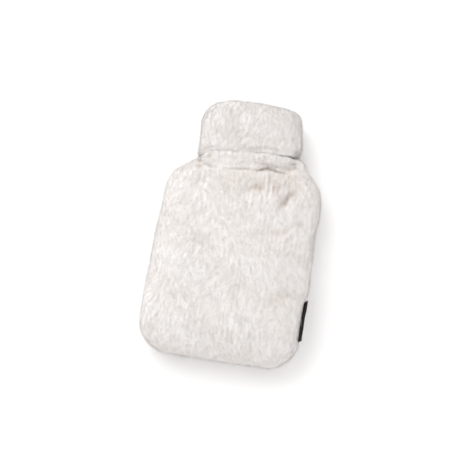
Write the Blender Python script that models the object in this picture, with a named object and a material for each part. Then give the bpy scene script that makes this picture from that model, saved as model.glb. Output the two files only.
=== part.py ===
"""Hot water bottle cover in deep white plush, lying on its back.

Four pieces, as a maker would cut and sew them: a domed front panel, a back panel that is flat where it
rests, a doubled collar turned down over the neck, and a woven label in the right-hand side seam.
The cover is shown plump, in the shape it has round a full bottle, and is hollow, open at the collar.
Metres, +Z up. The collar points along +Y and the cover rests on Z = 0 with the origin under its middle.
"""

import math
from collections import namedtuple

import bmesh
import bpy
import numpy as np

# Driving sizes. from_top is the distance from the top of the collar, across is to the right of the middle
COVER_LENGTH = 0.362
SEAM_HEIGHT = 0.027  # the side seams and the foot seam lie in one level plane
CLOTH = 0.008  # knitted backing with the pile that stands on it
GAP = 0.0003  # between pieces that touch

# Foot of the cover: plan corners, and how far in the filling takes to reach its full depth
FOOT_CORNER = 0.038
FRONT_FOOT_ROUNDING = 0.060
BACK_FOOT_ROUNDING = 0.032

# Shape of a section across the cover, as superellipse powers: 2 is an ellipse, more is squarer
FRONT_FULLNESS = 2.4
BACK_FULLNESS = 3.0
FOOT_FULLNESS = 2.2
FLAT_ALLOWANCE = 0.005  # how much rounder than its flat rest the back would be if it hung free

# Steps round each panel, from side seam to side seam
FRONT_STEPS = 32
BACK_STEPS = 16

NECK_EDGE = 0.022  # from_top of the panels' top edge, inside the collar
Section = namedtuple("Section", "from_top left right crown underside")
SECTIONS = (
    Section(from_top=0.022, left=0.0600, right=0.0600, crown=0.0490, underside=0.0085),
    Section(from_top=0.075, left=0.0600, right=0.0600, crown=0.0490, underside=0.0085),
    Section(from_top=0.078, left=0.0660, right=0.0690, crown=0.0530, underside=0.0040),
    Section(from_top=0.082, left=0.0710, right=0.0755, crown=0.0555, underside=0.0012),
    Section(from_top=0.087, left=0.0760, right=0.0805, crown=0.0565, underside=0.0000),
    Section(from_top=0.096, left=0.0830, right=0.0870, crown=0.0565, underside=0.0000),
    Section(from_top=0.112, left=0.0935, right=0.0970, crown=0.0605, underside=0.0000),
    Section(from_top=0.124, left=0.0985, right=0.1010, crown=0.0625, underside=0.0000),
    Section(from_top=0.138, left=0.1010, right=0.1020, crown=0.0640, underside=0.0000),
    Section(from_top=0.165, left=0.1010, right=0.1010, crown=0.0655, underside=0.0000),
    Section(from_top=0.178, left=0.1015, right=0.1015, crown=0.0658, underside=0.0000),
    Section(from_top=0.205, left=0.1030, right=0.1035, crown=0.0660, underside=0.0000),
    Section(from_top=0.245, left=0.1025, right=0.1035, crown=0.0650, underside=0.0000),
    Section(from_top=0.285, left=0.1030, right=0.1020, crown=0.0635, underside=0.0000),
    Section(from_top=0.362, left=0.1015, right=0.1015, crown=0.0610, underside=0.0000),
)

# Creases pressed into the front panel, from one end to the other
Crease = namedtuple("Crease", "across from_top to_across to_from_top depth spread")
PANEL_CREASES = (
    # below the neck roll
    Crease(across=-0.044, from_top=0.092, to_across=0.012, to_from_top=0.093, depth=0.0026, spread=0.0055),
    Crease(across=0.012, from_top=0.093, to_across=0.062, to_from_top=0.097, depth=0.0052, spread=0.0045),
    # gathers that fan out below the two ends of the collar
    Crease(across=-0.058, from_top=0.080, to_across=-0.038, to_from_top=0.104, depth=0.0030, spread=0.0045),
    Crease(across=-0.064, from_top=0.081, to_across=-0.058, to_from_top=0.116, depth=0.0034, spread=0.0045),
    Crease(across=-0.068, from_top=0.083, to_across=-0.080, to_from_top=0.112, depth=0.0026, spread=0.0050),
    Crease(across=0.062, from_top=0.080, to_across=0.078, to_from_top=0.104, depth=0.0028, spread=0.0045),
    # diagonal folds of the shoulders and the front
    Crease(across=0.068, from_top=0.120, to_across=0.045, to_from_top=0.168, depth=0.0036, spread=0.0065),
    Crease(across=0.040, from_top=0.124, to_across=0.006, to_from_top=0.134, depth=0.0024, spread=0.0065),
    Crease(across=0.084, from_top=0.160, to_across=0.078, to_from_top=0.190, depth=0.0028, spread=0.0060),
    Crease(across=0.036, from_top=0.184, to_across=0.066, to_from_top=0.193, depth=0.0030, spread=0.0065),
    Crease(across=-0.052, from_top=0.126, to_across=-0.074, to_from_top=0.172, depth=0.0028, spread=0.0075),
    Crease(across=-0.056, from_top=0.205, to_across=-0.018, to_from_top=0.224, depth=0.0024, spread=0.0080),
    Crease(across=0.050, from_top=0.282, to_across=0.084, to_from_top=0.262, depth=0.0030, spread=0.0065),
    Crease(across=0.010, from_top=0.250, to_across=0.014, to_from_top=0.292, depth=0.0022, spread=0.0080),
    Crease(across=-0.076, from_top=0.282, to_across=-0.040, to_from_top=0.300, depth=0.0026, spread=0.0080),
)

# Soft rises between the creases
Rise = namedtuple("Rise", "across from_top height spread")
PANEL_RISES = (
    Rise(across=-0.028, from_top=0.150, height=0.0018, spread=0.024),
    Rise(across=0.062, from_top=0.212, height=0.0020, spread=0.018),
    Rise(across=0.018, from_top=0.236, height=0.0014, spread=0.026),
    Rise(across=-0.055, from_top=0.254, height=0.0018, spread=0.024),
    Rise(across=0.046, from_top=0.306, height=0.0016, spread=0.022),
)

# Turned-down collar: a doubled band that hooks over the top edge of the neck
Band = namedtuple("Band", "from_top half_width crown")
COLLAR = (
    Band(from_top=0.011, half_width=0.0675, crown=0.0545),
    Band(from_top=0.024, half_width=0.0695, crown=0.0575),
    Band(from_top=0.040, half_width=0.0705, crown=0.0585),
    Band(from_top=0.057, half_width=0.0700, crown=0.0580),
    Band(from_top=0.0715, half_width=0.0680, crown=0.0555),
)
COLLAR_FULLNESS = 2.7
HEM_ROUNDING = 0.0025
HEM_SHARES = (0.3, 0.7)  # where points stand round the hem, from the outside to the inside
ROLL_STEPS = 6
COLLAR_CREASES = (
    Crease(across=-0.020, from_top=0.010, to_across=-0.016, to_from_top=0.046, depth=0.0026, spread=0.0055),
    Crease(across=0.004, from_top=0.052, to_across=0.046, to_from_top=0.056, depth=0.0016, spread=0.0060),
)
COLLAR_RISES = (
    Rise(across=-0.040, from_top=0.044, height=0.0014, spread=0.016),
    Rise(across=0.034, from_top=0.030, height=0.0012, spread=0.020),
)

# How far the top edge of the collar drops away towards its two corners
Corner = namedtuple("Corner", "across drop")
COLLAR_CORNERS = (
    Corner(across=-0.071, drop=0.0130),
    Corner(across=-0.050, drop=0.0045),
    Corner(across=-0.022, drop=0.0000),
    Corner(across=0.030, drop=0.0008),
    Corner(across=0.056, drop=0.0022),
    Corner(across=0.071, drop=0.0050),
)

# The hem and the neck roll run askew. along is how far each place across is moved towards the top
Askew = namedtuple("Askew", "across along")
HEM_ASKEW = (
    Askew(across=-0.075, along=-0.0100),
    Askew(across=-0.050, along=-0.0030),
    Askew(across=-0.020, along=0.0000),
    Askew(across=0.030, along=0.0005),
    Askew(across=0.055, along=0.0045),
    Askew(across=0.078, along=0.0120),
)
ASKEW_MIDDLE = 0.075  # from_top where the skew is full
ASKEW_SPREAD = 0.034

# Woven label, folded in two and caught in the right-hand side seam near the foot
LABEL_FROM_TOP = 0.267
LABEL_LENGTH = 0.054
LABEL_STANDS_OUT = 0.011
LABEL_THICKNESS = 0.0014
LABEL_LIFT = math.radians(72)  # it leans up from the seam
LABEL_OFF_SEAM = 0.0012
LABEL_STEPS = 10
LABEL_FOLD_TURNS = (1.2, 0.0, -1.2)  # points round its folded edge

PLUSH_COLOUR = (0.86, 0.83, 0.79, 1.0)
LABEL_COLOUR = (0.012, 0.012, 0.013, 1.0)


def clear_scene():
    for old in list(bpy.data.objects):
        bpy.data.objects.remove(old, do_unlink=True)


def cloth_material(name, colour, roughness):
    material = bpy.data.materials.new(name)
    material.use_nodes = True
    shader = material.node_tree.nodes["Principled BSDF"]
    shader.inputs["Base Color"].default_value = colour
    shader.inputs["Roughness"].default_value = roughness
    shader.inputs["Metallic"].default_value = 0.0
    return material


def smooth_curve(table, key, name, at):
    """A cubic through one column of a table that never overshoots between its rows."""
    stations = np.array([getattr(row, key) for row in table])
    values = np.array([getattr(row, name) for row in table])
    steps = np.diff(stations)
    slopes = np.diff(values) / steps
    before, after = slopes[:-1], slopes[1:]
    bends = np.zeros(len(values))
    same_way = before * after > 0
    bends[1:-1][same_way] = 2 * (before * after)[same_way] / (before + after)[same_way]
    at = np.clip(at, stations[0], stations[-1])
    k = np.clip(np.searchsorted(stations, at, side="right") - 1, 0, len(steps) - 1)
    u = (at - stations[k]) / steps[k]
    ends = values[k] * (1 + 2 * u) * (1 - u) ** 2 + values[k + 1] * (3 - 2 * u) * u**2
    return ends + steps[k] * (bends[k] * u * (1 - u) ** 2 - bends[k + 1] * (1 - u) * u**2)


def section_value(name, from_top):
    return smooth_curve(SECTIONS, "from_top", name, from_top)


def place_along(across, from_top):
    """Place along the cover, with the hem and the neck roll moved askew."""
    moved = smooth_curve(HEM_ASKEW, "across", "along", across)
    return COVER_LENGTH / 2 - from_top + moved * np.exp(-(((from_top - ASKEW_MIDDLE) / ASKEW_SPREAD) ** 2))


def curve_power(value, fullness):
    """A sine or cosine bent to a superellipse, keeping its sign."""
    return np.sign(value) * np.abs(value) ** (2 / fullness)


def even_turns(fullness, steps, wide=0.100, high=0.036):
    """Turns that space points evenly round half a superellipse, from the right side to the left."""
    fine = np.linspace(0, math.pi, 4001)
    x, y = wide * curve_power(np.cos(fine), fullness), high * curve_power(np.sin(fine), fullness)
    run = np.concatenate([[0], np.cumsum(np.hypot(np.diff(x), np.diff(y)))])
    return np.interp(np.linspace(0, run[-1], steps + 1), run, fine)


FRONT_TURNS = even_turns(FRONT_FULLNESS, FRONT_STEPS)
BACK_TURNS = np.linspace(0, math.pi, BACK_STEPS + 1)


def rounded_rise(depth_in, rounding, fullness):
    """From 0 at an edge to 1 once depth_in reaches the rounding, along a quarter superellipse."""
    short = np.clip(1 - depth_in / rounding, 0, 1)
    return (1 - short**fullness) ** (1 / fullness)


def rows_along():
    """Distances from the top of the collar to each row of a panel's points, foot first."""
    foot_rows = [COVER_LENGTH - FRONT_FOOT_ROUNDING * (1 - math.cos(t)) for t in np.linspace(0, math.pi / 2, 9)]
    body_rows = list(np.linspace(foot_rows[-1], 0.134, 17))[1:]
    shoulder_rows = [0.126, 0.119, 0.112, 0.106, 0.101, 0.097, 0.0935, 0.090, 0.087, 0.0845, 0.082, 0.080]
    neck_rows = [0.078, 0.0765, 0.075, 0.048, NECK_EDGE]
    return np.array(foot_rows + body_rows + shoulder_rows + neck_rows)


def pressed(across, from_top, creases, rises):
    """How far the cloth is pushed in by its creases, less its soft rises, at each point."""
    depth = np.zeros_like(across)
    for crease in creases:
        run_across, run_along = crease.to_across - crease.across, crease.to_from_top - crease.from_top
        off_across, off_along = across - crease.across, from_top - crease.from_top
        share = (off_across * run_across + off_along * run_along) / (run_across**2 + run_along**2)
        share = np.clip(share, 0, 1)
        away = np.hypot(off_across - share * run_across, off_along - share * run_along)
        fade = 1 - 0.55 * np.abs(2 * share - 1)
        depth += crease.depth * fade * np.exp(-((away / crease.spread) ** 2))
    for rise in rises:
        away = np.hypot(across - rise.across, from_top - rise.from_top)
        depth -= rise.height * np.exp(-((away / rise.spread) ** 2))
    return depth


def panel_points(front, inset):
    """Grid of points on one face of a panel: a row for each distance along, a column for each step round.

    inset is 0 on the face that shows and the cloth's thickness on the face inside.
    """
    rows = rows_along()
    in_foot = np.clip(1 - (COVER_LENGTH - rows) / FRONT_FOOT_ROUNDING, 0, 1)
    from_top = rows - inset * in_foot
    to_foot = COVER_LENGTH - inset - from_top
    corner = FOOT_CORNER - inset
    cut_in = inset + corner * (1 - rounded_rise(to_foot, corner, 2.0))

    fullness = FRONT_FULLNESS if front else BACK_FULLNESS
    turns = FRONT_TURNS if front else BACK_TURNS
    sideways, outward = curve_power(np.cos(turns), fullness), curve_power(np.sin(turns), fullness)
    reach = [section_value(side, from_top) - cut_in for side in ("left", "right")]
    across = np.where(sideways < 0, reach[0][:, None], reach[1][:, None]) * sideways

    if front:
        filled = rounded_rise(to_foot, FRONT_FOOT_ROUNDING - inset, FOOT_FULLNESS)[:, None] * outward
        lift = (section_value("crown", from_top) - inset - SEAM_HEIGHT)[:, None]
        followed = 1.0 if inset == 0 else 0.6
        sunk = followed * pressed(across, from_top[:, None], PANEL_CREASES, PANEL_RISES)
        up = SEAM_HEIGHT + GAP / 2 + np.maximum((lift - sunk) * filled, 0)
    else:
        filled = rounded_rise(to_foot, BACK_FOOT_ROUNDING - inset, FOOT_FULLNESS)[:, None] * outward
        underside = (section_value("underside", from_top) + inset)[:, None]
        up = np.maximum(SEAM_HEIGHT - GAP / 2 - (SEAM_HEIGHT - underside + FLAT_ALLOWANCE) * filled, underside)
    return np.stack([across, place_along(across, from_top[:, None]), up], axis=2)


def new_object(name, builder, material):
    """A smooth-shaded object from a closed bmesh, with its faces pointing out."""
    bmesh.ops.recalc_face_normals(builder, faces=builder.faces)
    mesh = bpy.data.meshes.new(name)
    builder.to_mesh(mesh)
    builder.free()
    mesh.shade_smooth()
    mesh.set_sharp_from_angle(angle=math.radians(50))
    mesh.materials.append(material)
    made = bpy.data.objects.new(name, mesh)
    bpy.context.scene.collection.objects.link(made)
    return made


def add_grid(builder, points, closed_rows=False, closed_columns=False):
    """Vertices and quads for a grid of points. Returns the rows of vertices."""
    rows = [[builder.verts.new(point) for point in row] for row in points]
    row_count, column_count = len(rows), len(rows[0])
    for i in range(row_count if closed_rows else row_count - 1):
        for j in range(column_count if closed_columns else column_count - 1):
            above, beside = (i + 1) % row_count, (j + 1) % column_count
            builder.faces.new((rows[i][j], rows[i][beside], rows[above][beside], rows[above][j]))
    return rows


def edge_loop(rows):
    """The vertices round the border of a grid, in order."""
    right = [row[-1] for row in rows[1:-1]]
    left = [row[0] for row in rows[-2:0:-1]]
    return rows[0] + right + rows[-1][::-1] + left


def make_panel(name, front, material):
    """One panel of plush: the face that shows, the face inside, and the cut edge between them."""
    builder = bmesh.new()
    shown = edge_loop(add_grid(builder, panel_points(front, inset=0.0)))
    inside = edge_loop(add_grid(builder, panel_points(front, inset=CLOTH)))
    for i in range(len(shown)):
        after = (i + 1) % len(shown)
        builder.faces.new((shown[i], shown[after], inside[after], inside[i]))
    return new_object(name, builder, material)


def oval(half_width, crown, underside, front_fullness):
    """Points round one oval of the neck or collar, on the same steps round as the two panels."""
    front_turns, back_turns = FRONT_TURNS[:-1], BACK_TURNS[:-1]
    front_x = curve_power(np.cos(front_turns), front_fullness)
    back_x = -curve_power(np.cos(back_turns), BACK_FULLNESS)
    lift = (crown - SEAM_HEIGHT) * curve_power(np.sin(front_turns), front_fullness)
    drop = (SEAM_HEIGHT - underside + FLAT_ALLOWANCE) * curve_power(np.sin(back_turns), BACK_FULLNESS)
    up = np.concatenate([SEAM_HEIGHT + lift, np.maximum(SEAM_HEIGHT - drop, underside)])
    return np.stack([half_width * np.concatenate([front_x, back_x]), up], axis=1)


def corner_drop(across, from_top):
    """How far the collar's top edge and what is below it come down at this place across."""
    drop = smooth_curve(COLLAR_CORNERS, "across", "drop", across)
    return drop * max(0.0, 1 - from_top / COLLAR[-1].from_top)


def collar_outside(band):
    """One ring of points round the outside of the collar."""
    ring = oval(band.half_width, band.crown, 0.0, COLLAR_FULLNESS)
    across, up = ring[:, 0], ring[:, 1]
    upward = np.clip((up - SEAM_HEIGHT) / (band.crown - SEAM_HEIGHT), 0, 1)
    up = up - upward * pressed(across, np.full_like(across, band.from_top), COLLAR_CREASES, COLLAR_RISES)
    return np.stack([across, up], axis=1)


def collar_rings():
    """Rings down the outside of the collar, round its hem, up the inside and round the top roll."""
    neck = SECTIONS[0]
    bore = oval(neck.left - CLOTH, neck.crown - CLOTH, neck.underside + CLOTH, FRONT_FULLNESS)
    round_neck = oval(neck.left + GAP, neck.crown + GAP, neck.underside - GAP, FRONT_FULLNESS)
    outside = [collar_outside(band) for band in COLLAR]
    roll, hem = COLLAR[0].from_top, COLLAR[-1].from_top

    rings = []
    for band, ring in zip(COLLAR, outside):
        rings.append((band.from_top + corner_drop(ring[:, 0], band.from_top), ring))
    for share in HEM_SHARES:
        rounded = outside[-1] * (1 - share) + round_neck * share
        rings.append((hem + HEM_ROUNDING * math.sin(math.pi * share), rounded))
    rings += [(hem, round_neck), ((hem + NECK_EDGE) / 2, round_neck), (NECK_EDGE - GAP, round_neck)]
    rings.append((NECK_EDGE - GAP, bore))
    for step in range(ROLL_STEPS):
        turn = math.pi * step / ROLL_STEPS
        share = (1 - math.cos(turn)) / 2
        rolled = bore * (1 - share) + outside[0] * share
        rings.append((roll * (1 - math.sin(turn)) + corner_drop(rolled[:, 0], roll), rolled))
    return rings


def make_collar(material):
    grid = []
    for from_top, ring in collar_rings():
        across, up = ring[:, 0], ring[:, 1]
        grid.append(np.stack([across, place_along(across, from_top), up], axis=1))
    builder = bmesh.new()
    add_grid(builder, grid, closed_rows=True, closed_columns=True)
    return new_object("roll_collar", builder, material)


def label_outline():
    """The label's section: how far out from its root, and how far to one side of its middle."""
    half = LABEL_THICKNESS / 2
    fold = [(LABEL_STANDS_OUT - half * (1 - math.cos(t)), half * math.sin(t)) for t in LABEL_FOLD_TURNS]
    return [(0.0, half), *fold, (0.0, -half)]


def make_label(material):
    """A folded strip whose root follows the side seam and which leans up and out from it."""
    from_top = np.linspace(LABEL_FROM_TOP, LABEL_FROM_TOP + LABEL_LENGTH, LABEL_STEPS + 1)
    cut_in = FOOT_CORNER * (1 - rounded_rise(COVER_LENGTH - from_top, FOOT_CORNER, 2.0))
    root_across = section_value("right", from_top) - cut_in + LABEL_OFF_SEAM
    lean_out, lean_up = math.cos(LABEL_LIFT), math.sin(LABEL_LIFT)
    grid = []
    for along, root in zip(place_along(root_across, from_top), root_across):
        row = []
        for reach, side in label_outline():
            across = root + reach * lean_out + side * lean_up
            row.append((across, along, SEAM_HEIGHT + reach * lean_up - side * lean_out))
        grid.append(row)
    builder = bmesh.new()
    rows = add_grid(builder, grid, closed_columns=True)
    builder.faces.new(rows[0])
    builder.faces.new(rows[-1])
    return new_object("side_label", builder, material)


def main():
    clear_scene()
    plush = cloth_material("plush", PLUSH_COLOUR, 0.95)
    ribbon = cloth_material("woven_ribbon", LABEL_COLOUR, 0.7)
    make_panel("front_panel", True, plush)
    make_panel("back_panel", False, plush)
    make_collar(plush)
    make_label(ribbon)


main()
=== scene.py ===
"""Looks of the hot water bottle cover: deep white plush on a knitted backing, a turned-down collar and a
plain black woven label, lying on a white studio table."""

import math

import bmesh
import bpy
import numpy as np
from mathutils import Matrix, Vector
from mathutils.kdtree import KDTree


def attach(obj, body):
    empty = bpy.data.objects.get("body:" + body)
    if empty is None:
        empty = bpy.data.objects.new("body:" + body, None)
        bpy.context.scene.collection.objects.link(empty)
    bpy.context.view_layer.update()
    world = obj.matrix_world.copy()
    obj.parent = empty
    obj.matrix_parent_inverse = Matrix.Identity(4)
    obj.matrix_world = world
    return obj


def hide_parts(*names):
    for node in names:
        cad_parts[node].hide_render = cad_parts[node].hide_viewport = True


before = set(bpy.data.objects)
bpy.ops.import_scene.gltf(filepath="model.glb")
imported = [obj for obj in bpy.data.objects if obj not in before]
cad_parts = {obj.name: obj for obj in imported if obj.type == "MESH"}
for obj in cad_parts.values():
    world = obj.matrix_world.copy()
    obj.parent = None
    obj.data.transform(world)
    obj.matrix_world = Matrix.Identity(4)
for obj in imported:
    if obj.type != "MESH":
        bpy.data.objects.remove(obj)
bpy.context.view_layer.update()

# Knitted backing of the front and back panels: an off-white polyester jersey, 3.5 mm thick with the bound
# roots of its pile. The two are cut to one pattern and sewn together round the sides and the foot.
SEAM_HEIGHT = 0.027  # the side seams and the foot seam lie in one level plane
PILE_DEPTH = 0.0045  # from the ends of the pile down to the jersey
NECK_TOP, FOOT_END = 0.150, -0.177  # the panels' top and foot edges lie past these
JERSEY_LIGHT = (0.94, 0.92, 0.90, 1.0)
JERSEY_SHADED = (0.86, 0.82, 0.78, 1.0)
STITCH = 0.0015  # width of one stitch
STITCH_TALL = 1.3125  # how tall a stitch is for its width
BANDS = 3.2  # how many bands a wave texture of scale 1 has in a metre
SAME_POINT = 1e-5
JERSEY_EDGE = math.radians(60)  # edges sharper than this stay sharp


class Socket:
    """A shader socket that takes part in Python sums, each of which adds a Math node."""

    def __init__(self, graph, output):
        self.graph, self.output = graph, output

    def maths(self, operation, *values):
        return self.graph.add("ShaderNodeMath", {"operation": operation}, *values)

    def __add__(self, other):
        return self.maths("ADD", self, other)

    def __sub__(self, other):
        return self.maths("SUBTRACT", self, other)

    def __rsub__(self, other):
        return self.maths("SUBTRACT", other, self)

    def __mul__(self, other):
        return self.maths("MULTIPLY", self, other)

    def at_least(self, least):
        return self.maths("MAXIMUM", self, least)

    __radd__, __rmul__ = __add__, __mul__


class Graph:
    """A tree of shader nodes round its main shader. Every other node is added in one way."""

    def __init__(self, tree, shader):
        self.tree, self.shader = tree, tree.nodes[shader]

    def add(self, kind, settings, *values, at=range(9), out=0, **named):
        """A node with its settings, then with values or links in its sockets, by place or by name."""
        node = self.tree.nodes.new(kind)
        for key, value in settings.items():
            if key == "stops":
                self.set_stops(node.color_ramp, value)
            else:
                setattr(node, key, value)
        for place, value in zip(at, values):
            self.join(value, node.inputs[place])
        for key, value in named.items():
            self.join(value, node.inputs[key.replace("_", " ")])
        return Socket(self, node.outputs[out])

    def set_stops(self, ramp, stops):
        while len(ramp.elements) < len(stops):
            ramp.elements.new(0.5)
        for element, (place, colour) in zip(ramp.elements, stops):
            element.position, element.color = place, colour

    def join(self, value, socket):
        if isinstance(value, Socket):
            self.tree.links.new(value.output, socket)
        else:
            socket.default_value = value

    def feed(self, socket, value):
        self.join(value, self.shader.inputs[socket])

    def mix(self, share, low, high, blend="MIX"):
        settings = {"data_type": "RGBA", "blend_type": blend}
        return self.add("ShaderNodeMix", settings, share, low, high, at=(0, 6, 7), out=2)


class Finish(Graph):
    """A material and its Principled shader."""

    def __init__(self, name, **fixed):
        self.material = bpy.data.materials.new(name)
        self.material.use_nodes = True
        super().__init__(self.material.node_tree, "Principled BSDF")
        for socket, value in fixed.items():
            self.shader.inputs[socket.replace("_", " ")].default_value = value


def bands(cloth, place, way, scale, wobble, detail):
    """Threads or columns of stitches side by side, a little uneven."""
    settings = {"bands_direction": way}
    values = {"Scale": scale, "Distortion": wobble, "Detail": detail}
    return cloth.add("ShaderNodeTexWave", settings, place, **values, out=1)


def jersey(name):
    """Knitted jersey: columns of small stitches, soft patches of shade and a matte finish."""
    cloth = Finish(name, Specular_IOR_Level=0.2, Sheen_Weight=0.15, Sheen_Roughness=0.5)
    place = cloth.add("ShaderNodeTexCoord", {}, out=3)
    columns = bands(cloth, place, "X", 1 / (STITCH * BANDS), 1.5, 2.0)
    rows = bands(cloth, place, "Y", 1 / (STITCH * STITCH_TALL * BANDS), 2.5, 2.0)
    stitches = columns * rows
    patches = cloth.add("ShaderNodeTexNoise", {}, place, Scale=42.0, Detail=4.0)
    bump = cloth.add("ShaderNodeBump", {}, Strength=0.5, Distance=0.0006, Height=stitches + patches)
    cloth.feed("Base Color", cloth.mix(patches * 0.6 + stitches * 0.4, JERSEY_SHADED, JERSEY_LIGHT))
    cloth.feed("Roughness", 0.85 + patches * 0.12)
    cloth.feed("Normal", bump)
    return cloth.material


def welded(node):
    """The node's points, with those that coincide made one, and its faces as triples of them."""
    builder = bmesh.new()
    builder.from_mesh(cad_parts[node].data)
    bmesh.ops.remove_doubles(builder, verts=builder.verts, dist=SAME_POINT)
    bmesh.ops.triangulate(builder, faces=builder.faces)
    builder.verts.index_update()
    points = np.array([v.co for v in builder.verts])
    faces = np.array([[v.index for v in f.verts] for f in builder.faces])
    builder.free()
    return points, faces


def dots(a, b):
    return np.einsum("ij,ij->i", a, b)


def facing(points, faces):
    """The unit normal, the middle and the area of each face."""
    a, b, c = (points[faces[:, k]] for k in range(3))
    across = np.cross(b - a, c - a)
    size = np.linalg.norm(across, axis=1)
    return across / np.maximum(size, 1e-15)[:, None], (a + b + c) / 3, size / 2


def soft_normals(points, faces):
    """At each point, the mean normal of the faces round it."""
    normals, _, areas = facing(points, faces)
    summed = np.zeros_like(points)
    for k in range(3):
        np.add.at(summed, faces[:, k], normals * areas[:, None])
    return summed / np.maximum(np.linalg.norm(summed, axis=1), 1e-15)[:, None]


def panel_outside(points, faces):
    """Which faces of a panel are on the side that carries the long pile."""
    normals, middles, _ = facing(points, faces)
    outward = dots(normals, middles * [1, 0, 1] - [0, 0, SEAM_HEIGHT])
    seam = (np.abs(normals[:, 2]) > 0.9) & (np.abs(middles[:, 2] - SEAM_HEIGHT) < 0.001)
    top_edge = (normals[:, 1] > 0.9) & (middles[:, 1] > NECK_TOP)
    foot_edge = (normals[:, 1] < -0.3) & (middles[:, 1] < FOOT_END)
    return ((outward > 0) | foot_edge) & ~seam & ~top_edge


def new_piece(name, points, faces, material):
    mesh = bpy.data.meshes.new(name)
    mesh.from_pydata(points.tolist(), [], faces.tolist())
    mesh.materials.append(material)
    mesh.shade_smooth()
    made = bpy.data.objects.new(name, mesh)
    bpy.context.scene.collection.objects.link(made)
    return made


def thinned(points, faces, outside, depth):
    """The points, with those of the outside faces sunk by depth to where the jersey lies."""
    normals = soft_normals(points, faces[outside])
    sunk = np.zeros(len(points), bool)
    sunk[faces[outside].ravel()] = True
    return points - np.where(sunk[:, None], normals * depth, 0)


panels, backings = {}, {}
for side in ("front", "back"):
    points, faces = welded(side + "_panel")
    outside = panel_outside(points, faces)
    panels[side] = points, faces, outside
    sunk = thinned(points, faces, outside, PILE_DEPTH)
    backing = backings[side] = new_piece(side + "_backing", sunk, faces, jersey(side + "_jersey"))
    backing.data.set_sharp_from_angle(angle=JERSEY_EDGE)
    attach(backing, "root")
    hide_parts(side + "_panel")

# Label: a strip of black taffeta ribbon with firm woven edges, folded in two. Its ends are caught in the
# right-hand side seam near the foot. It bends up out of the seam and stands 11 mm clear of the pile.
LABEL_OUT, LABEL_BURIED = 0.0112, 0.0070  # how much of each ply shows, and runs on through the pile
LABEL_LIFT = math.radians(72)  # how far it bends up
BEND_START, BEND = -0.0030, 0.0035  # where it starts to bend, and over what length
RIBBON_THICK, RIBBON_GAP = 0.00050, 0.00036  # one ply, and half the way between the middles of the two
RIBBON_EDGE = 0.0012  # width of the firm edge
RIBBON_RIB, RIBBON_THREAD = 0.00045, 0.00031  # from rib to rib, and from thread to thread
RIBBON_DARK, RIBBON_LIGHT = (0.004, 0.004, 0.004, 1.0), (0.015, 0.0145, 0.014, 1.0)
LABEL_SHARP = math.radians(50)  # edges sharper than this stay sharp
BESIDE_LABEL = 0.004  # over what length the pile past each end of the label closes up again
LABEL_CLEARING = 0.0140  # how far up along the label the pile is kept off it
WAVES = ((0.0004, 70, 0.8), (0.0002, 260, 2.0))  # how far the label's edge sways, how often, and from where


def ribbon_finish(name):
    """Black taffeta: fine ribs across the strip and finer threads along it, with a slight sheen."""
    weave = Finish(name, Specular_IOR_Level=0.22, Sheen_Weight=0.08, Sheen_Roughness=0.4)
    place = weave.add("ShaderNodeTexCoord", {}, out=3)
    ribs = bands(weave, place, "Y", 1 / (RIBBON_RIB * BANDS), 0.4, 1.0)
    threads = bands(weave, place, "Z", 1 / (RIBBON_THREAD * BANDS), 0.6, 1.0)
    cover = ribs * 0.6 + threads * 0.4
    wear = weave.add("ShaderNodeTexNoise", {}, place, Scale=180.0, Detail=3.0)
    weave.feed("Base Color", weave.mix(cover * 0.7 + wear * 0.3, RIBBON_DARK, RIBBON_LIGHT))
    weave.feed("Roughness", 0.50 + wear * 0.2)
    weave.feed("Normal", weave.add("ShaderNodeBump", {}, Strength=0.5, Distance=0.0002, Height=cover))
    return weave.material


def eased(share):
    """A soft step, from 0 where share is 0 to 1 where it is 1."""
    share = np.clip(share, 0, 1)
    return share * share * (3 - 2 * share)


tag_points = np.array([v.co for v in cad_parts["side_label"].data.vertices])
tag_foot = tag_points[tag_points[:, 2] < SEAM_HEIGHT + 0.0009]
seam_line = np.polyfit(tag_foot[:, 1], tag_foot[:, 0], 2)
low_end, high_end = tag_points[:, 1].min(), tag_points[:, 1].max()
up_label = np.array([math.cos(LABEL_LIFT), 0, math.sin(LABEL_LIFT)])
off_label = np.array([math.sin(LABEL_LIFT), 0, -math.cos(LABEL_LIFT)])
ply_places = np.linspace(-LABEL_BURIED, LABEL_OUT, 80)
ply_turns = LABEL_LIFT * eased((ply_places - BEND_START) / BEND)
ply_steps = np.stack([np.cos(ply_turns), np.sin(ply_turns)], axis=1)
ply_line = np.cumsum(ply_steps, axis=0) * (ply_places[1] - ply_places[0])
ply_line += LABEL_OUT * up_label[[0, 2]] - ply_line[-1]


def folded_ribbon(to_edge):
    """The outline of the ribbon's two plies and its fold, where it is cut at a distance from its edge."""
    thick = RIBBON_THICK * (0.55 if to_edge == 0 else 1.35 - 0.35 * min(1.0, to_edge / RIBBON_EDGE) ** 2)
    turns = np.linspace(-math.pi / 2, math.pi / 2, 9)
    outline = []
    for offset, order in ((thick / 2, 1), (-thick / 2, -1)):
        radius = RIBBON_GAP + offset
        straight = np.linspace(-LABEL_BURIED, LABEL_OUT - RIBBON_GAP - RIBBON_THICK / 2, 24)
        fold = np.stack([straight[-1] + radius * np.cos(turns), radius * np.sin(turns)], axis=1)
        low_ply, high_ply = (np.stack([straight, 0 * straight + sign * radius], axis=1) for sign in (-1, 1))
        outline.append(np.concatenate([low_ply, fold[1:-1], high_ply[::-1]])[::order])
    return np.concatenate(outline)


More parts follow.
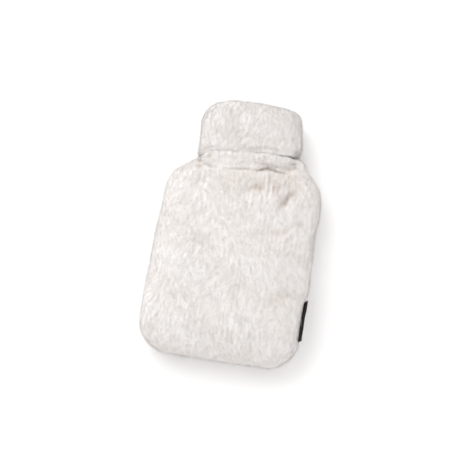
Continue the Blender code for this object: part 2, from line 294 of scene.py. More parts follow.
def label_ring(along):
    """The outline of the label at one place along the seam: bent up, and a little wavy."""
    reach, aside = folded_ribbon(min(along - low_end, high_end - along)).T
    lean = sum(sway * np.sin(along * often + start) for sway, often, start in WAVES)
    aside = aside + lean * np.clip(reach / LABEL_OUT, 0, 1) ** 1.5
    turn = np.interp(reach, ply_places, ply_turns)
    out = np.interp(reach, ply_places, ply_line[:, 0]) + aside * np.sin(turn)
    up = np.interp(reach, ply_places, ply_line[:, 1]) - aside * np.cos(turn)
    return np.stack([np.polyval(seam_line, along) + out, 0 * out + along, SEAM_HEIGHT + up], axis=1)


def joined_rings(rings):
    """Quads from ring to ring, and across both ends from the outline's outer half to its inner half."""
    steps, corners = rings.shape[:2]
    index = np.arange(steps * corners).reshape(steps, corners)
    turned = np.roll(index, -1, axis=1)
    skin = np.stack([index[:-1], turned[:-1], turned[1:], index[1:]], axis=2).reshape(-1, 4)
    k = np.arange(corners // 2 - 1)
    first, last = (
        np.stack([end[k], end[corners - 1 - k], end[corners - 2 - k], end[k + 1]], axis=1)
        for end in (index[0], index[-1])
    )
    return np.concatenate([skin, first, last[:, ::-1]])


inner_places = np.linspace(low_end + 0.0004, high_end - 0.0004, 68)
rings = np.array([label_ring(along) for along in (low_end, *inner_places, high_end)])
label = new_piece("ribbon_label", rings.reshape(-1, 3), joined_rings(rings), ribbon_finish("black_ribbon"))
turning = bmesh.new()
turning.from_mesh(label.data)
bmesh.ops.recalc_face_normals(turning, faces=turning.faces)
turning.to_mesh(label.data)
turning.free()
label.data.set_sharp_from_angle(angle=LABEL_SHARP)
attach(label, "root")
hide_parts("side_label")


def by_label(points):
    """How far each point lies off the label's outer face and up along it, and how much it is beside it."""
    seam = np.polyval(seam_line, points[:, 1])
    root = np.stack([seam, points[:, 1], np.full(len(points), SEAM_HEIGHT)], axis=1)
    past_low, past_high = points[:, 1] - low_end, high_end - points[:, 1]
    beside = np.clip(past_low / BESIDE_LABEL + 1, 0, 1) * np.clip(past_high / BESIDE_LABEL + 1, 0, 1)
    return (points - root) @ off_label, (points - root) @ up_label, beside


def clear_of_label(starts, tips):
    """Which fibres neither pass through the label nor lie over its outer face."""
    clear = np.ones(len(starts), bool)
    for share in (0.0, 0.25, 0.5, 0.75, 1.0):
        off, up, beside = by_label(starts + (tips - starts) * share)
        over_face = (off > -0.0008 - 0.0018 * (up > 0.005)) & (up > 0.0010) & (up < LABEL_CLEARING)
        clear &= ~((beside > 0.6) & over_face)
    return clear


# Pile of the front and back panels: straight polyester fibres about 12 mm long, knitted into the jersey,
# brushed towards the foot and grouped in soft tufts. Short ones make a close bed, and long ones lie over it.
TUFT, LOCK = 0.0068, 0.0027  # from tuft to tuft, and from lock to lock inside a tuft
SIDE_FULLNESS, SHOULDER_FULLNESS, ROLL_FULLNESS = 0.0042, 0.0030, 0.0030  # loft past the solids
SHOULDER, SHOULDER_REACH = 0.045, 0.042  # where the right shoulder's loft is most, and how far it goes
LABEL_MIDDLE, LABEL_REACH = -0.113, 0.034  # the same of the loft's loss behind the label
SIDES_FROM, SIDES_TO = -0.178, 0.098  # between these the sides have their loft
ROLL_START, ROLL_SLANT = 0.0895, 0.08  # where the neck's roll rises, and how much further per metre across
ROLL_FRONT, ROLL_DEPTH, ROLL_END = 0.0062, 0.0185, 0.0080  # its rise, its length and its fall behind the hem
NECK_HALF, NECK_FADE = 0.066, 0.012  # half of the neck's width, and over what length its roll fades there
SWIRL = 0.45  # how far the nap turns from its main way, in radians
HAIR, HAIR_WIDTH = 0.0092, 0.00033  # the length of a long fibre that shows, and its width
HAIR_LEAN = (0.7, 1.2, 1.45)  # least, mean and greatest lean of a fibre off the cloth's normal, in radians
GATHER = 0.24  # the most that a fibre's end is drawn to the end of its tuft, as a share of the way there
LIT_FROM, LIT_OVER = 0.018, 0.012  # heights over which more light from above gets in among the fibres
LOOSE_SHARE, LOOSE_RISE = 0.20, 0.0028  # how many fibres end above the others, and by how much
LONG_FIBRES = {"front": 66000, "back": 60000}
BED_LOWEST, PILE_LOWEST = 0.0008, 0.0004  # above the table
BED_DROP, SEAM_DROP = 0.0010, 0.0019  # how far the bed lies below the pile's ends, and at its edges
PARTING, LOCK_PARTING = 0.0008, 0.0003  # how much deeper it lies between tufts, and between locks
UNDER_COLLAR = 0.130  # past this the collar hides the panels, and they have no pile
PANEL_ROUNDS = 40  # of smoothing, to find how far a point lies below its surroundings
TONES = (  # from deep shade to the brightest tips
    (0.0, (0.45, 0.375, 0.33, 1)),
    (0.3, (0.69, 0.638, 0.602, 1)),
    (0.6, (0.83, 0.806, 0.786, 1)),
    (1.0, (0.885, 0.858, 0.846, 1)),
)
ROOT_PAINTED_SHADE = ((0.0, (0.90, 0.87, 0.84, 1)), (0.6, (1, 1, 1, 1)))  # painted shade at the root
NECK_CREASE = (  # points across, along and how deep
    (-0.040, 0.0735, 0.0),
    (-0.010, 0.0760, 0.0012),
    (0.010, 0.0785, 0.0018),
    (0.024, 0.0815, 0.0034),
    (0.038, 0.0818, 0.0031),
    (0.050, 0.0804, 0.0012),
    (0.062, 0.0790, 0.0),
)
SHOULDER_CREASE = (
    (0.072, 0.0600, 0.0),
    (0.0655, 0.0500, 0.0014),
    (0.0575, 0.0330, 0.0010),
    (0.047, 0.0080, 0.0),
)
SIDE_CREASE = (
    (0.048, -0.0160, 0.0),
    (0.0600, -0.0060, 0.0009),
    (0.0744, 0.0035, 0.0011),
    (0.0920, 0.0180, 0.0),
)
RUFFLED, RUFFLED_REACH = (0.030, 0.060), (0.032, 0.016)  # the ruffled cloth below the neck
RUFFLED_FOLD = (
    (-0.006, 0.0520, 0.0),
    (0.020, 0.0500, 0.0008),
    (0.044, 0.0500, 0.0008),
    (0.066, 0.0600, 0.0),
)
PANEL_CREASES = (  # each one's points, its width, and how much it shades for its depth
    (NECK_CREASE, 0.0015, 0.22),
    # gathers at the left of the neck
    (((-0.066, 0.0900, 0.0024), (-0.052, 0.0915, 0.0016), (-0.036, 0.0960, 0.0)), 0.0024, 0.40),
    (((-0.062, 0.0850, 0.0024), (-0.050, 0.0775, 0.0014), (-0.034, 0.0690, 0.0)), 0.0028, 0.36),
    (((-0.060, 0.0745, 0.0014), (-0.050, 0.0640, 0.0010), (-0.040, 0.0500, 0.0)), 0.0030, 0.36),
    # gathers at its right
    (((0.067, 0.0985, 0.0014), (0.050, 0.0955, 0.0)), 0.0022, 0.28),
    (((0.068, 0.0920, 0.0013), (0.053, 0.0865, 0.0)), 0.0022, 0.26),
    # down from the right shoulder, and in from the right side
    (SHOULDER_CREASE, 0.0036, 0.34),
    (SIDE_CREASE, 0.0048, 0.30),
    (((0.0500, -0.1097, 0.0), (0.0721, -0.0937, 0.0009), (0.0920, -0.0831, 0.0)), 0.0060, 0.42),
    # on the left side
    (((-0.050, 0.0600, 0.0), (-0.063, 0.0340, 0.0007), (-0.074, 0.0060, 0.0)), 0.0050, 0.26),
    (((-0.076, -0.0500, 0.0), (-0.046, -0.0330, 0.0006), (-0.014, -0.0250, 0.0)), 0.0056, 0.26),
    # a fold in the ruffled cloth below the neck, and the broad hollow round it
    (RUFFLED_FOLD, 0.0065, 0.50),
    (((-0.040, 0.0520, 0.0004), (0.000, 0.0560, 0.0010), (0.046, 0.0600, 0.0010)), 0.0150, 0.80),
)


def drift(points, size, seed):
    """A soft random field with a mean of 0 and a spread of 1, whose waves are about size long."""
    chance = np.random.default_rng(seed)
    total = np.zeros(len(points))
    for _ in range(9):
        way = chance.normal(size=3)
        way *= 2 * math.pi / (np.linalg.norm(way) * size * chance.uniform(0.7, 1.5))
        total += np.sin(points @ way + chance.uniform(0, 2 * math.pi))
    return total / math.sqrt(4.5)


def unit(rows):
    return rows / np.maximum(np.linalg.norm(rows, axis=1), 1e-12)[:, None]


def creased(places, normals, creases):
    """How deep and how shaded the creases of the cloth are at each place of its upper side."""
    deep, shaded = np.zeros(len(places)), np.zeros(len(places))
    upper = eased(normals[:, 2] / 0.5)
    wander = 0.0009 * np.stack([drift(places, 0.025, 71), drift(places, 0.025, 72)], axis=1)
    spots = places[:, :2] + wander
    uneven = 1 + 0.12 * drift(places, 0.024, 73)
    for line, width, shade in creases:
        away, depth = np.full(len(places), 1.0), np.zeros(len(places))
        for start, end in zip(np.array(line)[:-1], np.array(line)[1:]):
            run = end[:2] - start[:2]
            share = np.clip((spots - start[:2]) @ run / (run @ run), 0, 1)
            far = np.linalg.norm(spots - start[:2] - share[:, None] * run, axis=1)
            depth = np.where(far < away, start[2] + share * (end[2] - start[2]), depth)
            away = np.minimum(away, far)
        deep += depth * uneven * np.exp(-((away / width) ** 2)) * upper
        shaded += shade * depth * uneven * np.exp(-((away / width / 1.6) ** 2)) * upper
    return np.clip(deep, 0, None), np.clip(shaded, 0, None)


def fine_quads(points, faces):
    """The faces as an open surface of quads, rounded and divided three times: its points and its quads."""
    builder = bmesh.new()
    corners = [builder.verts.new(p) for p in points]
    for face in faces:
        builder.faces.new([corners[k] for k in face])
    bmesh.ops.delete(builder, geom=[v for v in builder.verts if not v.link_faces], context="VERTS")
    flat, square = 1.2, 3.1  # how much a pair of triangles may bend, and be out of square, to be joined
    bmesh.ops.join_triangles(
        builder, faces=builder.faces, angle_face_threshold=flat, angle_shape_threshold=square
    )
    mesh = bpy.data.meshes.new("rounding")
    builder.to_mesh(mesh)
    builder.free()
    rough = bpy.data.objects.new("rounding", mesh)
    bpy.context.scene.collection.objects.link(rough)
    rounding = rough.modifiers.new("rounding", "SUBSURF")
    rounding.levels = rounding.render_levels = 3
    fine = rough.evaluated_get(bpy.context.evaluated_depsgraph_get()).to_mesh()
    places = np.array([v.co for v in fine.vertices])
    quads = np.array([p.vertices[:] for p in fine.polygons])
    bpy.data.objects.remove(rough)
    bpy.data.meshes.remove(mesh)
    return places, quads


def tree_of(places):
    tree = KDTree(len(places))
    for k, place in enumerate(places):
        tree.insert(place, k)
    tree.balance()
    return tree


class Ground:
    """The level that the ends of the pile reach on a piece: a fine, rounded, open surface of quads, with how
    shaded each point is, and how far below its surroundings it lies."""

    def __init__(self, points, faces, shape, rounds):
        self.places, self.quads = fine_quads(points, faces)
        self.triangles = np.concatenate([self.quads[:, [0, 1, 2]], self.quads[:, [0, 2, 3]]])
        self.places, self.shaded = shape(self.places, soft_normals(self.places, self.triangles))
        self.normals = soft_normals(self.places, self.triangles)
        edges = np.sort(np.concatenate([self.quads[:, [k, (k + 1) % 4]] for k in range(4)]), axis=1)
        edges, uses = np.unique(edges, axis=0, return_counts=True)
        self.rim = np.zeros(len(self.places), bool)
        self.rim[edges[uses == 1].ravel()] = True
        sunk = dots(self.smoothed(edges, rounds) - self.places, self.normals)
        self.sunk = sunk - np.median(sunk)

    def smoothed(self, edges, rounds):
        """The places with all but the rim moved, round after round, to the mean of their neighbours."""
        ends = np.concatenate([edges, edges[:, ::-1]])
        ends = ends[np.argsort(ends[:, 0], kind="stable")]
        first = np.searchsorted(ends[:, 0], np.arange(len(self.places)))
        number = np.bincount(ends[:, 0], minlength=len(self.places))
        level = self.places
        for _ in range(rounds):
            mean = np.add.reduceat(level[ends[:, 1]], first, axis=0) / number[:, None]
            level = np.where(self.rim[:, None], level, mean)
        return level

    def covers(self, places):
        """Which places lie below this ground and close to it."""
        tree = tree_of(self.places)
        near = np.array([tree.find(place)[1] for place in places])
        offset = places - self.places[near]
        return (dots(offset, self.normals[near]) <= -0.0004) & (np.linalg.norm(offset, axis=1) <= 0.010)

    def scattered(self, count, chance):
        """Evenly random places, with the normal, the depth below the surroundings and the shade of each."""
        areas = facing(self.places, self.triangles)[2]
        face = np.searchsorted(np.cumsum(areas) / areas.sum(), chance.random(count))
        face = np.minimum(face, len(areas) - 1)
        u, v = chance.random(count), chance.random(count)
        flip = u + v > 1
        u[flip], v[flip] = 1 - u[flip], 1 - v[flip]
        shares = np.stack([1 - u - v, u, v], axis=1)
        corners = self.triangles[face]
        corner_shares = shares[:, :, None]
        places, normals = ((values[corners] * corner_shares).sum(1) for values in (self.places, self.normals))
        sunk, shaded = ((values[corners] * shares).sum(1) for values in (self.sunk, self.shaded))
        return places, unit(normals), sunk, shaded


def brushed(places, normals, way):
    """The way the pile lies at each place: along the cloth, mostly the given way, with swirls."""
    along = unit(way - normals * dots(way, normals)[:, None] + 1e-6)
    beside = np.cross(normals, along)
    turn = SWIRL * (0.75 * drift(places, 0.075, 40) + 0.5 * drift(places, 0.028, 41))[:, None]
    return unit(along * np.cos(turn) + beside * np.sin(turn))


class Tufts:
    """Tufts on a ground, each with its root, the way it points, its normal, length, width and height."""

    def __init__(self, ground, way_of, spacing, seed):
        chance = np.random.default_rng(seed)
        count = int(facing(ground.places, ground.triangles)[2].sum() / spacing**2)
        self.roots, self.normals, _, _ = ground.scattered(count, chance)
        lie = brushed(self.roots, self.normals, way_of(self.roots, self.normals))
        turn = chance.normal(size=count)[:, None] * 0.22
        self.lie = unit(lie * np.cos(turn) + np.cross(self.normals, lie) * np.sin(turn))
        self.lengths = spacing * chance.uniform(1.0, 2.0, count)
        self.widths = spacing * chance.uniform(0.45, 0.8, count)
        self.heights = chance.uniform(0.55, 1.0, count)
        self.tree = tree_of(self.roots)

    def relief(self, places, normals):
        """How high the tufts lie at each place, from 0 in a parting to 1, which tuft lies on top, and how far
        across it the place is: they overlap as shingles do."""
        near = np.array([[found[1] for found in self.tree.find_n(place, 9)] for place in places])
        offset = places[:, None] - self.roots[near]
        beside = np.cross(self.normals, self.lie)[near]
        along = np.einsum("ijk,ijk->ij", offset, self.lie[near]) / self.lengths[near]
        across = np.einsum("ijk,ijk->ij", offset, beside) / self.widths[near]
        climb = np.clip((along + 1) / 1.6, 0, None)
        drop = np.sqrt(np.clip(1 - ((along - 0.6) / 0.4) ** 2, 0, None))
        rise = np.where(along < 0.6, climb, drop)
        each = self.heights[near] * rise * np.sqrt(np.clip(1 - across**2, 0, None))
        each *= np.einsum("ijk,ik->ij", self.normals[near], normals) > 0.6
        top = each.argmax(axis=1)
        rows = np.arange(len(near))
        return each[rows, top], near[rows, top], np.clip(across[rows, top], -1, 1)


def tone_of(places, lift, sunk, shaded):
    """How bright the pile is, from 0 to 1: lower in partings and creases, which is painted shade, streaked
    along the nap, and uneven. The streaks are strongest where the cloth is ruffled, below the neck."""
    along_nap = np.stack([places[:, 0] / 0.0042, places[:, 1] / 0.020, places[:, 2] / 0.006], axis=1)
    streak = drift(along_nap, 1.4, 94)
    from_ruffled = (places[:, :2] - RUFFLED) / RUFFLED_REACH
    ruffled = np.exp(-(from_ruffled[:, 0] ** 2) - from_ruffled[:, 1] ** 2)
    patch = 0.4 + 0.4 * np.clip(drift(places, 0.045, 93), -1, 1) + 0.9 * ruffled
    mottle = 0.024 * drift(places, 0.06, 91) + 0.014 * drift(places, 0.02, 92) + 0.06 * patch * streak
    # painted shade: darker in creases and hollows, and lower where the tufts lie low, in the partings
    crease = np.clip(np.clip(sunk / 0.0018, 0, 1) + shaded / 0.0018, 0, 1.25)
    return 0.78 + 0.08 * (lift - 0.75) + mottle - 0.36 * crease


def bed_finish(name):
    """The close bed of short fibres: streaks along the nap, warm and darker in the partings, which is
    painted shade.
    """
    bed = Finish(name, Roughness=0.92, Specular_IOR_Level=0.1, Sheen_Weight=0.15, Sheen_Roughness=0.4)
    comb = bed.add("ShaderNodeAttribute", {"attribute_name": "comb"}, out=1)
    shade = bed.add("ShaderNodeAttribute", {"attribute_name": "shade"}, out=2)
    fine = bed.add("ShaderNodeTexNoise", {}, comb, Scale=1.0, Detail=3.0, Roughness=0.6)
    broad = bed.add("ShaderNodeTexNoise", {}, comb, Scale=0.33, Detail=2.0)
    tone = shade + (fine - 0.5) * 0.20 + (broad - 0.5) * 0.14
    bump = bed.add("ShaderNodeBump", {}, Strength=0.45, Distance=0.0006, Height=fine + broad * 1.5)
    bed.feed("Base Color", bed.add("ShaderNodeValToRGB", {"stops": TONES}, tone))
    bed.feed("Roughness", 0.86 + fine * 0.1)
    bed.feed("Normal", bump)
    return bed.material


def fibre_finish(name):
    """Long fibres. Across their map the tone goes from shaded to bright, and up it from root to tip, with
    painted shade darkening the root.
    """
    fibre = Finish(name, Roughness=0.9, Specular_IOR_Level=0.1, Sheen_Weight=0.2, Sheen_Roughness=0.5)
    place = fibre.add("ShaderNodeUVMap", {"uv_map": "OFBake"})
    across = fibre.add("ShaderNodeSeparateXYZ", {}, place)
    upward = fibre.add("ShaderNodeSeparateXYZ", {}, place, out=1)
    tone = fibre.add("ShaderNodeValToRGB", {"stops": TONES}, across)
    root = fibre.add("ShaderNodeValToRGB", {"stops": ROOT_PAINTED_SHADE}, upward)
    fibre.feed("Base Color", fibre.mix(1.0, tone, root, "MULTIPLY"))
    return fibre.material


plush_bed, plush_fibres = bed_finish("plush_bed"), fibre_finish("plush_fibres")


def lay_bed(name, ground, tufts, locks):
    """The bed of short fibres: a fine surface raised in tufts and locks, a little below the pile's ends."""
    places, normals = ground.places, ground.normals
    high, _, _ = tufts.relief(places, normals)
    small, _, _ = locks.relief(places, normals)
    drop = BED_DROP + PARTING * (1 - high) + LOCK_PARTING * (1 - small) + np.clip(ground.sunk, 0, 0.002) * 0.5
    drop[ground.rim] = SEAM_DROP
    raised = places - normals * drop[:, None]
    raised[:, 2] = np.maximum(raised[:, 2], BED_LOWEST)
    made = new_piece(name, raised, ground.quads, plush_bed)
    warp = 0.0045 * drift(places, 0.055, 61) + 0.0014 * drift(places, 0.022, 62)
    across, along, upward = places[:, 0] + warp, places[:, 1] + warp * 0.4, places[:, 2] - warp
    comb = np.stack([across / 0.0011, along / 0.012, upward / 0.0011], axis=1).ravel().astype(np.float32)
    made.data.attributes.new("comb", "FLOAT_VECTOR", "POINT").data.foreach_set("vector", comb)
    # painted shade: the bed is coloured 0.20 darker than the fibres that lie over it
    shade = tone_of(places, 0.7 * high + 0.3 * small, ground.sunk, ground.shaded) - 0.20
    shade = np.clip(shade, 0, 1).astype(np.float32)
    made.data.attributes.new("shade", "FLOAT", "POINT").data.foreach_set("value", shade)
    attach(made, "root")


def spin_fibres(name, roots, tips, sides, thick, shading, tone):
    """One mesh of fibres, each a long three-sided point. tone is where each lies across the map."""
    along = unit(tips - roots)
    across = unit(np.cross(along, sides))
    below = np.cross(across, along)
    below *= np.sign(dots(below, -shading))[:, None]
    half = thick[:, None] / 2
    corners = roots - across * half, roots + across * half, roots + below * half * 1.2
    points = np.stack([*corners, tips], axis=1)
    first = 4 * np.arange(len(roots))[:, None]
    faces = first[:, :, None] + np.array([[0, 1, 3], [1, 2, 3], [2, 0, 3]])[None]
    a, b, c = points[:, 0], points[:, 1], points[:, 3]
    turned = dots(np.cross(b - a, c - a), shading) < 0
    faces[turned] = faces[turned][:, :, ::-1]
    made = new_piece(name, points.reshape(-1, 3), faces.reshape(-1, 3), plush_fibres)
    left, right, under = shading - across * 0.3, shading + across * 0.3, shading * 0.5 + below * 0.5
    rounded = np.stack([unit(left), unit(right), unit(under), shading], axis=1)
    made.data.normals_split_custom_set_from_vertices(rounded.reshape(-1, 3).tolist())
    spots = np.stack([tone, tone + 0.004, tone + 0.002, tone + 0.002], axis=1)
    heights = np.broadcast_to([0.01, 0.01, 0.03, 0.99], spots.shape)
    used = faces.reshape(-1)
    where = np.stack([spots.reshape(-1)[used], heights.reshape(-1)[used]], axis=1)
    made.data.uv_layers.new(name="OFBake").data.foreach_set("uv", where.ravel().astype(np.float32))
    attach(made, "root")


def grow(name, ground, tufts, locks, way_of, count, seed, over=None):
    """Long pile on a ground: it lies with the tufts, gathers towards their ends, and ends at the ground's
    level, with some loose ends above it. None grows where the ground that is over it covers it."""
    chance = np.random.default_rng(seed)
    places, normals, sunk, shaded = ground.scattered(count, chance)
    high, tuft, across = tufts.relief(places, normals)
    small, _, _ = locks.relief(places, normals)
    tuft_lie, beside = tufts.lie[tuft], np.cross(tufts.normals, tufts.lie)[tuft]
    lie = brushed(places, normals, way_of(places, normals))
    own, shared = np.where(high > 0, 0.4, 1.0)[:, None], np.where(high > 0, 0.6, 0.0)[:, None]
    lie = unit(lie * own + tuft_lie * shared)
    lie = unit(lie - normals * dots(lie, normals)[:, None])
    least, mean, most = HAIR_LEAN
    lean = np.clip(mean + 0.12 * chance.normal(size=count), least, most)[:, None]
    reach = (HAIR * (1 + 0.15 * chance.normal(size=count)))[:, None]
    ways = unit(normals * np.cos(lean) + lie * np.sin(lean) + 0.06 * chance.normal(size=(count, 3)))
    loose = (chance.random(count) < LOOSE_SHARE) * chance.uniform(0.0, LOOSE_RISE, count)
    level = loose - 0.0002 - PARTING * (1 - high) - np.clip(sunk, 0, 0.002) * 0.6
    level += 0.0003 * chance.normal(size=count)
    tips = places + ways * reach * 0.5
    tips += normals * (level - dots(tips - places, normals))[:, None]
    pull = tufts.roots[tuft] + tuft_lie * (tufts.lengths[tuft] * 0.9)[:, None] - tips
    pull -= normals * dots(pull, normals)[:, None]
    tips += pull * (chance.uniform(0.0, GATHER, count) * (high > 0))[:, None]
    starts = tips - ways * reach
    tips[:, 2] = np.maximum(tips[:, 2], PILE_LOWEST)
    starts[:, 2] = np.maximum(starts[:, 2], PILE_LOWEST + 0.001)
    upright = (0.4 + 0.5 * eased((places[:, 2] - LIT_FROM) / LIT_OVER))[:, None] * np.array([0, 0, 1])
    shading = unit(normals + 0.15 * across[:, None] * beside + upright)
    # painted shade: darker in creases and partings, and between the locks
    tone = tone_of(places, high, sunk, shaded) - 0.03 + 0.05 * (small - 0.7)
    tone += 0.02 * chance.normal(size=count)
    widths = HAIR_WIDTH * chance.uniform(0.7, 1.25, count)
    kept = clear_of_label(starts, tips)
    if over:
        kept &= ~over.covers(places)
    values = starts, tips, normals, widths, shading, np.clip(tone, 0.01, 0.985)
    spin_fibres(name, *(value[kept] for value in values))


def to_foot(places, normals):
    return np.broadcast_to(np.array([0.0, -1.0, -0.15]), places.shape)


def panel_shape(places, normals):
    """The level of the pile on a panel, and its shade: fuller at the sides and at the right shoulder, plump
    over the roll of the neck, open in creases, and pressed flat against the label."""
    across, along = places[:, 0], places[:, 1]
    upper = eased(normals[:, 2] / 0.5)
    at_label = np.exp(-(((along - LABEL_MIDDLE) / LABEL_REACH) ** 4)) * (across > 0)
    at_shoulder = np.exp(-(((along - SHOULDER) / SHOULDER_REACH) ** 2)) * (across > 0)
    full = SIDE_FULLNESS * (1 - 0.40 * at_label) + SHOULDER_FULLNESS * at_shoulder
    at_side = eased(np.abs(normals[:, 0]) / 0.9)
    full *= at_side * eased((SIDES_TO - along) / 0.03) * eased((along - SIDES_FROM) / 0.04)
    past = along - ROLL_START - ROLL_SLANT * across
    swell = np.where(past < 0, np.exp(-((past / ROLL_FRONT) ** 2)), eased((ROLL_DEPTH - past) / ROLL_END))
    roll = ROLL_FULLNESS * swell * eased((NECK_HALF - np.abs(across)) / NECK_FADE) * upper
    wave = 0.0007 * drift(places, 0.055, 75) * upper
    deep, shaded = creased(places, normals, PANEL_CREASES)
    at_seam = eased(1 - np.abs(places[:, 2] - SEAM_HEIGHT) / 0.004)[:, None]
    level = unit(normals * (1 - at_seam * np.array([0, 0, 1])))
    moved = places + level * (full + roll + wave - deep)[:, None]
    off, up, beside = by_label(moved)
    pressed = np.clip(off + 0.0016, 0, None) * eased(up / 0.002) * (up < LABEL_CLEARING) * beside
    return moved - off_label * pressed[:, None], shaded


grounds = {}
for side, count in LONG_FIBRES.items():
    points, faces, outside = panels[side]
    piled = outside & (facing(points, faces)[1][:, 1] < UNDER_COLLAR)
    ground = grounds[side] = Ground(points, faces[piled], panel_shape, PANEL_ROUNDS)
    tufts, locks = Tufts(ground, to_foot, TUFT, 31), Tufts(ground, to_foot, LOCK, 32)
    lay_bed(side + "_underfur", ground, tufts, locks)
    grow(side + "_pile", ground, tufts, locks, to_foot, count, 33)
    with_pile = [side + "_underfur", side + "_pile"]

# Collar: a band of the same plush, doubled, sewn round the neck's top edge and turned down over it. Its pile
# runs out of the mouth, over the roll and down the outside, where its hem rests on the neck.
COLLAR_PILE_DEPTH = 0.0040
COLLAR_AXIS = 0.0275  # height of the bore's middle
COLLAR_STEP, MOUTH = 0.14, 0.155  # the step inside that the neck meets, and from where the bore has pile
COLLAR_FIBRES, COLLAR_ROUNDS = 46000, 30
HEM = (  # how far along the cover the hem lies, for how far across it
    (-0.070, -0.050, -0.030, 0.0, 0.030, 0.050, 0.070),
    (0.1005, 0.1041, 0.1068, 0.1078, 0.1080, 0.1106, 0.1195),
)
HEM_DROP = (  # how far the pile hangs down past the solid's hem
    (-0.070, -0.034, -0.010, 0.019, 0.047, 0.070),
    (0.0060, 0.0066, 0.0092, 0.0064, 0.0034, 0.0020),
)
HEM_UPPER, HEM_LOWER = 0.018, (0.012, 0.015)  # how far up from the hem it drops, and from what height on
HEM_FULLNESS, HEM_SWELL = 0.0026, 0.7  # how far the pile swells along the hem, and how much more at the right
HEM_RIGHT = (0.035, 0.025)  # from how far across it swells more, and over what length
COLLAR_HALF, COLLAR_CORNER = 0.066, 0.0036  # half its width, and how far its pile swells at two corners:
LEFT_CORNER, RIGHT_CORNER, CORNER_REACH = 0.125, 0.150, 0.030  # the left of the mouth, the right of the hem
TOP_CREASE = (
    (-0.0320, 0.1700, 0.0),
    (-0.0298, 0.1580, 0.0010),
    (-0.0255, 0.1350, 0.0008),
    (-0.0239, 0.1240, 0.0),
)
HEM_CREASE = (
    (-0.016, 0.1060, 0.0),
    (0.000, 0.1080, 0.0012),
    (0.030, 0.1120, 0.0012),
    (0.050, 0.1150, 0.0),
)
COLLAR_CREASES = (
    (TOP_CREASE, 0.0026, 0.40),
    (((-0.068, 0.0985, 0.0020), (-0.052, 0.1040, 0.0012), (-0.036, 0.1050, 0.0)), 0.0022, 0.42),
    (HEM_CREASE, 0.0022, 0.40),
    (((0.070, 0.1200, 0.0016), (0.053, 0.1160, 0.0)), 0.0022, 0.40),
)

points, faces = welded("roll_collar")
normals, middles, _ = facing(points, faces)
inward = dots(normals, middles * [1, 0, 1] - [0, 0, COLLAR_AXIS]) < 0
step_face = (normals[:, 1] < -0.9) & (middles[:, 1] > COLLAR_STEP)
bare = (inward & (middles[:, 1] <= MOUTH) & (np.abs(normals[:, 1]) < 0.1)) | step_face
sunk = thinned(points, faces, ~bare, COLLAR_PILE_DEPTH)
band = new_piece("collar_backing", sunk, faces, jersey("collar_jersey"))
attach(band, "root")
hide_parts("roll_collar")


def over_roll(places, normals):
    """The way out of the mouth, over the roll and down the outside."""
    outward = unit(places * [1, 0, 1] - [0, 0, COLLAR_AXIS])
    return outward * normals[:, 1][:, None] - np.array([0, 1.0, 0]) * dots(normals, outward)[:, None]


def collar_shape(places, normals):
    """The level of the pile on the collar, and its shade: its hem hangs down to the neck's roll and swells
    there, and it parts in creases."""
    hem, drop = np.interp(places[:, 0], *HEM), np.interp(places[:, 0], *HEM_DROP)
    height, fade = HEM_LOWER
    dropped = drop * eased(1 - (places[:, 1] - hem) / HEM_UPPER) * eased((places[:, 2] - height) / fade)
    deep, shaded = creased(places - np.array([[0, 1, 0]]) * dropped[:, None], normals, COLLAR_CREASES)
    left = eased(-places[:, 0] / COLLAR_HALF) * eased((places[:, 1] - LEFT_CORNER) / CORNER_REACH)
    right = eased(places[:, 0] / COLLAR_HALF) * eased((RIGHT_CORNER - places[:, 1]) / CORNER_REACH)
    start, length = HEM_RIGHT
    full = HEM_FULLNESS * (1 + HEM_SWELL * eased((places[:, 0] - start) / length))
    full *= eased(1 - (places[:, 1] - hem) / 0.020) * eased(normals[:, 2] / 0.6)
    moved = places + normals * (full - deep)[:, None]
    moved[:, 0] += COLLAR_CORNER * (left + right) * normals[:, 0] * np.abs(normals[:, 0])
    moved[:, 1] -= dropped
    return moved, shaded


ground = Ground(points, faces[~bare], collar_shape, COLLAR_ROUNDS)
tufts, locks = Tufts(ground, over_roll, TUFT, 51), Tufts(ground, over_roll, LOCK, 52)
lay_bed("collar_underfur", ground, tufts, locks)
grow("collar_pile", ground, tufts, locks, over_roll, COLLAR_FIBRES, 53, grounds["front"])

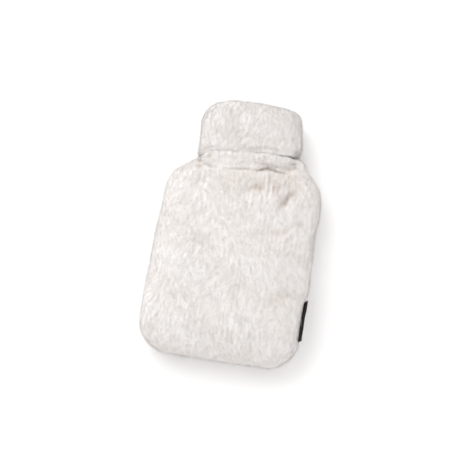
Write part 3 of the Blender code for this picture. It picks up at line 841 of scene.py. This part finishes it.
# Studio: a matte white table under a wide soft light from the upper left, with white all round. The camera
# looks down at the cover at the photo's angle.
TABLE_REACH, TABLE_WHITE = 3.0, (0.96, 0.96, 0.96, 1)
SKY_LOW, SKY_HIGH = (1.0, 0.965, 0.955, 1), (1.0, 1.0, 1.0, 1)
SKY_BRIGHT, SKY_FALL = 1.31, 0.47  # at the horizon, and how much less it is overhead
SOFTBOX_PLACE, SOFTBOX_SIZE, SOFTBOX_WATTS = (-0.95, 0.75, 1.35), (1.6, 1.4), 14.9
AZIMUTH, ELEVATION, DISTANCE = math.radians(9.0), math.radians(70.0), 1.45
TARGET = Vector((-0.0155, 0.0031, 0.03))
PICTURE, SCALE = 450.0, 748.0  # the picture's width, and the metre at the cover, in pixels
FILM = 36.0

table = Finish("table", Base_Color=TABLE_WHITE, Roughness=0.8, Specular_IOR_Level=0.1)
corners = np.array([(-1, -1, 0), (1, -1, 0), (1, 1, 0), (-1, 1, 0)]) * TABLE_REACH
floor = new_piece("table_top", corners, np.array([[0, 1, 2, 3]]), table.material)

world = bpy.data.worlds.new("studio")
bpy.context.scene.world = world
world.use_nodes = True
sky = Graph(world.node_tree, "Background")
up = sky.add("ShaderNodeSeparateXYZ", {}, sky.add("ShaderNodeTexCoord", {}), out=2).at_least(0.0)
sky.feed("Color", sky.mix(up, SKY_LOW, SKY_HIGH))
sky.feed("Strength", SKY_BRIGHT - up * SKY_FALL)

lamp = bpy.data.lights.new("softbox", "AREA")
lamp.shape, lamp.energy = "RECTANGLE", SOFTBOX_WATTS
lamp.size, lamp.size_y = SOFTBOX_SIZE
softbox = bpy.data.objects.new("softbox", lamp)
bpy.context.scene.collection.objects.link(softbox)
softbox.location = SOFTBOX_PLACE
softbox.rotation_euler = (-softbox.location).to_track_quat("-Z", "Y").to_euler()

lens = bpy.data.cameras.new("camera")
lens.sensor_width, lens.lens = FILM, FILM * SCALE / PICTURE * DISTANCE
camera = bpy.data.objects.new("camera", lens)
bpy.context.scene.collection.objects.link(camera)
aside = math.cos(ELEVATION)
away = Vector((aside * math.sin(AZIMUTH), -aside * math.cos(AZIMUTH), math.sin(ELEVATION)))
camera.location = TARGET + away * DISTANCE
camera.rotation_euler = (-away).to_track_quat("-Z", "Y").to_euler()
bpy.context.scene.camera = camera
bpy.context.scene.view_settings.view_transform = "Standard"
